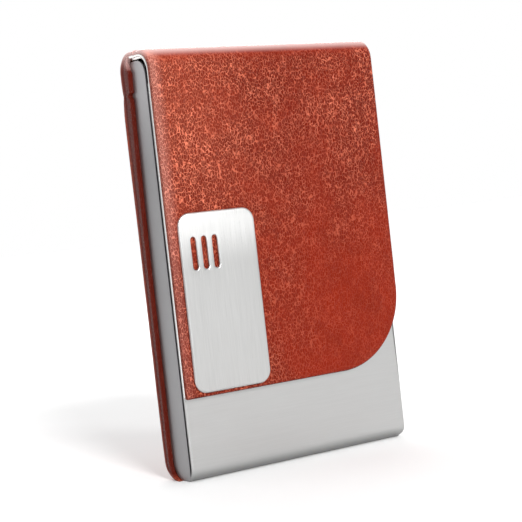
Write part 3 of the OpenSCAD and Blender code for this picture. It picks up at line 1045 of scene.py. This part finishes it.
def edge_quads(xs, zs):
    """Rings between the grid's border and the plate's rounded outline."""
    border = box_loop(xs, zs)
    nx, nz = len(xs), len(zs)
    half_x, half_z = (badge_hi.x - badge_lo.x) / 2, (badge_hi.z - badge_lo.z) / 2
    mid = np.array([(badge_lo.x + badge_hi.x) / 2, (badge_lo.z + badge_hi.z) / 2])
    corners = [(-1, -1, 180), (1, -1, 270), (1, 1, 0), (-1, 1, 90)]

    def around(inset):
        radius = BADGE_R - inset
        points = []
        for i, count in enumerate((nx, nz, nx, nz)):
            (ax, az, begin), (bx, bz, after) = corners[i], corners[(i + 1) % 4]
            a0 = np.radians(np.linspace(begin + 45, begin + 90, 13))
            a1 = np.radians(np.linspace(after, after + 45, 13))
            c0 = np.array([ax * (half_x - BADGE_R), az * (half_z - BADGE_R)])
            c1 = np.array([bx * (half_x - BADGE_R), bz * (half_z - BADGE_R)])
            line = np.concatenate([c0 + radius * np.stack([np.cos(a0), np.sin(a0)], 1),
                                   c1 + radius * np.stack([np.cos(a1), np.sin(a1)], 1)])
            costs = np.linalg.norm(np.diff(line, axis=0), axis=1)
            points.append(resample(line, costs, count)[:-1])
        return mid + np.concatenate(points)

    loops = [border, 0.5 * border + 0.5 * around(0.75)]
    loops += [around(d) for d in [0.75, 0.58] + round_edge(BADGE_EDGE_R)]
    return [q[::-1] for q in ring_rows(loops)]


def on_front(face):
    """Points of a plate that lies flat on a front face at y = face; heights stand out towards -Y."""
    return lambda x, z, height: np.stack([x, face - height, z], 1)


badge = slab("ornament_plate", badge_quads(), badge_lift, badge_hi.y - badge_lo.y, badge_steel,
             on_front(badge_lo.y))

# ---- Linings ----

front_flock = sheet_piece("front_flock", "front_lining", flock)
back_flock = sheet_piece("back_flock", "back_lining", flock)

LINING_T = 0.25
LINING_GAP = 0.08
lining_half = abs(wall_lo.x) - 0.05
SPINE_BEND_R = 0.5
SPINE_FLARE_R = 0.6
spine_start = liner_hi.y - 0.2
spine_back = wall_hi.y + LINING_GAP + LINING_T
spine_top = TOP - CROWN_T - LINER_T
spine_path = (Path((spine_start, spine_top), 0)
              .straight(spine_back - SPINE_BEND_R - spine_start).turn(SPINE_BEND_R, 90)
              .straight(spine_top - hinge_hi.z - 1.2).turn(SPINE_FLARE_R, -90)
              .straight(strip_lo.y - 0.07 - spine_back - SPINE_FLARE_R))
spine_lining = shell("spine_lining", spine_path,
                     outline(lining_half, 0, spine_path.length, [0.4] * 4, (70, 30)),
                     rounded_rings(LINING_T, 0.08, 0.08), lining_leather)

panel_end_path = (Path((wall_hi.y + LINING_GAP, hinge_lo.z - 1.6), 90)
                  .straight(0.6).turn(0.9, 90).straight(0.6))
panel_end = shell("panel_end", panel_end_path,
                  outline(lining_half, 0, panel_end_path.length, [0.4] * 4, (70, 12)),
                  rounded_rings(LINING_T, 0.08, 0.08), lining_leather)

hinge_path = Path((strip_lo.y, strip_lo.z - 0.5), 90).straight(strip_hi.z - strip_lo.z + 1.0)
hinge_strip = shell("hinge_strip", hinge_path,
                    outline(lining_half - 0.1, 0, hinge_path.length, [0.3] * 4, (60, 24)),
                    rounded_rings(strip_hi.y - strip_lo.y - 0.05, 0.1, 0.1), lining_leather)

# ---- Riding on the bodies ----

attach(flap_cover, "flap")
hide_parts("flap_leather")

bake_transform(back_cover)
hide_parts("back_leather", "hinge_leather", "back_foam")

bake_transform(hinge_strip)
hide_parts("hinge_lining")

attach(spine_lining, "flap")
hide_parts("spine_padding")

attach(panel_end, "case")

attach(flap_liner, "flap")
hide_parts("flap_liner")

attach(front_plate, "case")
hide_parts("front_plate")
for flange in flanges:
    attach(flange, "case")
for wall, node in side_walls:
    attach(wall, "case")
    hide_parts(node)

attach(badge, "flap")
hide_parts("badge_plate")

for piece, node in ((front_flock, "front_lining"), (back_flock, "back_lining")):
    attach(piece, "case")
    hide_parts(node)

kept = {"back_plate": inner_steel, "panel_tape": tape_paper, "back_board": greyboard,
        "flap_board": greyboard, "magnet_upper": nickel, "magnet_lower": nickel, "badge_tape": tape_paper}
for node, finish in kept.items():
    mesh = frame["nodes"][node].data
    mesh.materials.clear()
    mesh.materials.append(finish)

# ---- Floor, light and camera ----


def floor_material():
    n = Nodes("floor")
    at = n.solid()
    mottle = n.noise(at, 0.02, 3.0, 0.5)
    colour = n.mix(n.ramp(mottle, 0.3, 0.7), (0.97, 0.97, 0.97), (0.955, 0.955, 0.955))
    return n.set(Base_Color=colour, Roughness=1.0, Specular_IOR_Level=0.0)


FLOOR_SIZE = 6000.0
floor_corners = [(sx * FLOOR_SIZE, sy * FLOOR_SIZE, 0) for sx, sy in ((-1, -1), (1, -1), (1, 1), (-1, 1))]
floor = build("floor", floor_corners, [(0, 1, 2, 3)], floor_material())


def direction(azimuth, elevation):
    """The way out from the case. Azimuth 0 is in front of it and 90 is at its right."""
    a, e = math.radians(azimuth), math.radians(elevation)
    return Vector((math.sin(a) * math.cos(e), -math.cos(a) * math.cos(e), math.sin(e)))


def add_lamp(name, kind, way, power):
    """A light that shines back along a way."""
    data = bpy.data.lights.new(name, kind)
    data.energy = power
    lamp = bpy.data.objects.new(name, data)
    lamp.rotation_mode = "QUATERNION"
    lamp.rotation_quaternion = way.to_track_quat("Z", "Y")
    bpy.context.scene.collection.objects.link(lamp)
    return lamp


def softbox(name, azimuth, elevation, distance, size, power):
    """An area light that looks at the case."""
    way = direction(azimuth, elevation)
    lamp = add_lamp(name, "AREA", way, power)
    lamp.data.shape = "RECTANGLE"
    lamp.data.size, lamp.data.size_y = (side * MM for side in size)
    lamp.location = (Vector((0, 0, TOP / 2)) + way * distance) * MM


def sun(name, azimuth, elevation, spread, power):
    """A far light. spread is its width in degrees: the larger, the softer its shadow."""
    way = direction(azimuth, elevation)
    lamp = add_lamp(name, "SUN", way, power)
    lamp.data.angle = math.radians(spread)
    lamp.location = way * 2


sun("key", -12.5, 24, 14, 2.5)
sun("side", 15, 24, 14, 0.7)
softbox("front_box", 29, 14, 900, (500, 500), 0.45)
softbox("rim_box", 150, 30, 900, (500, 400), 1.8)


def studio_world(dim, bright, way):
    """A pale studio, white to the eye. To the lights it is dim, and bright in one way."""
    world = bpy.data.worlds.new("studio")
    bpy.context.scene.world = world
    world.use_nodes = True
    tree = world.node_tree
    made = {kind: tree.nodes.new("ShaderNode" + kind)
            for kind in ("TexCoord", "VectorMath", "MapRange", "LightPath", "MixShader", "Background")}
    towards = made["VectorMath"]
    towards.operation = "DOT_PRODUCT"
    tree.links.new(made["TexCoord"].outputs["Generated"], towards.inputs[0])
    towards.inputs[1].default_value = Vector(way).normalized()
    glow = made["MapRange"]
    glow.interpolation_type = "SMOOTHSTEP"
    tree.links.new(towards.outputs["Value"], glow.inputs["Value"])
    for key, value in {"From Min": -0.3, "From Max": 0.75, "To Min": dim, "To Max": bright}.items():
        glow.inputs[key].default_value = value
    room = tree.nodes["Background"]
    room.inputs["Color"].default_value = (1, 1, 1, 1)
    tree.links.new(glow.outputs["Result"], room.inputs["Strength"])
    made["Background"].inputs["Color"].default_value = (1, 1, 1, 1)
    tree.links.new(made["LightPath"].outputs["Is Camera Ray"], made["MixShader"].inputs[0])
    tree.links.new(room.outputs[0], made["MixShader"].inputs[1])
    tree.links.new(made["Background"].outputs[0], made["MixShader"].inputs[2])
    tree.links.new(made["MixShader"].outputs[0], tree.nodes["World Output"].inputs["Surface"])


studio_world(0.26, 1.05, (0.3, 0.9, 0.4))

CAMERA_YAW = -33.698
CAMERA_PITCH = 1.66
CAMERA_ROLL = -6.38
CAMERA_DISTANCE = 351.68
CAMERA_SHIFT = (6.141, 2.259)
LENS = 105.14


def make_camera():
    """The camera stands low, to the left of the front, and is rolled."""
    r = math.radians(CAMERA_ROLL)
    back = direction(CAMERA_YAW, CAMERA_PITCH)
    level = Vector((0, 0, 1)).cross(back).normalized()
    upright = back.cross(level)
    right = level * math.cos(r) + upright * math.sin(r)
    up = upright * math.cos(r) - level * math.sin(r)
    turn = Matrix((right, up, back))
    aim = Vector((0, FRONT, TOP / 2))
    place = aim - turn.transposed() @ Vector((CAMERA_SHIFT[0], CAMERA_SHIFT[1], -CAMERA_DISTANCE))
    data = bpy.data.cameras.new("camera")
    data.sensor_width = 36
    data.lens = LENS
    data.clip_start, data.clip_end = 0.01, 20
    camera = bpy.data.objects.new("camera", data)
    camera.matrix_world = Matrix.Translation(place * MM) @ turn.transposed().to_4x4()
    bpy.context.scene.collection.objects.link(camera)
    bpy.context.scene.camera = camera


make_camera()
view = bpy.context.scene.view_settings
view.view_transform = "Standard"
view.look = "None"
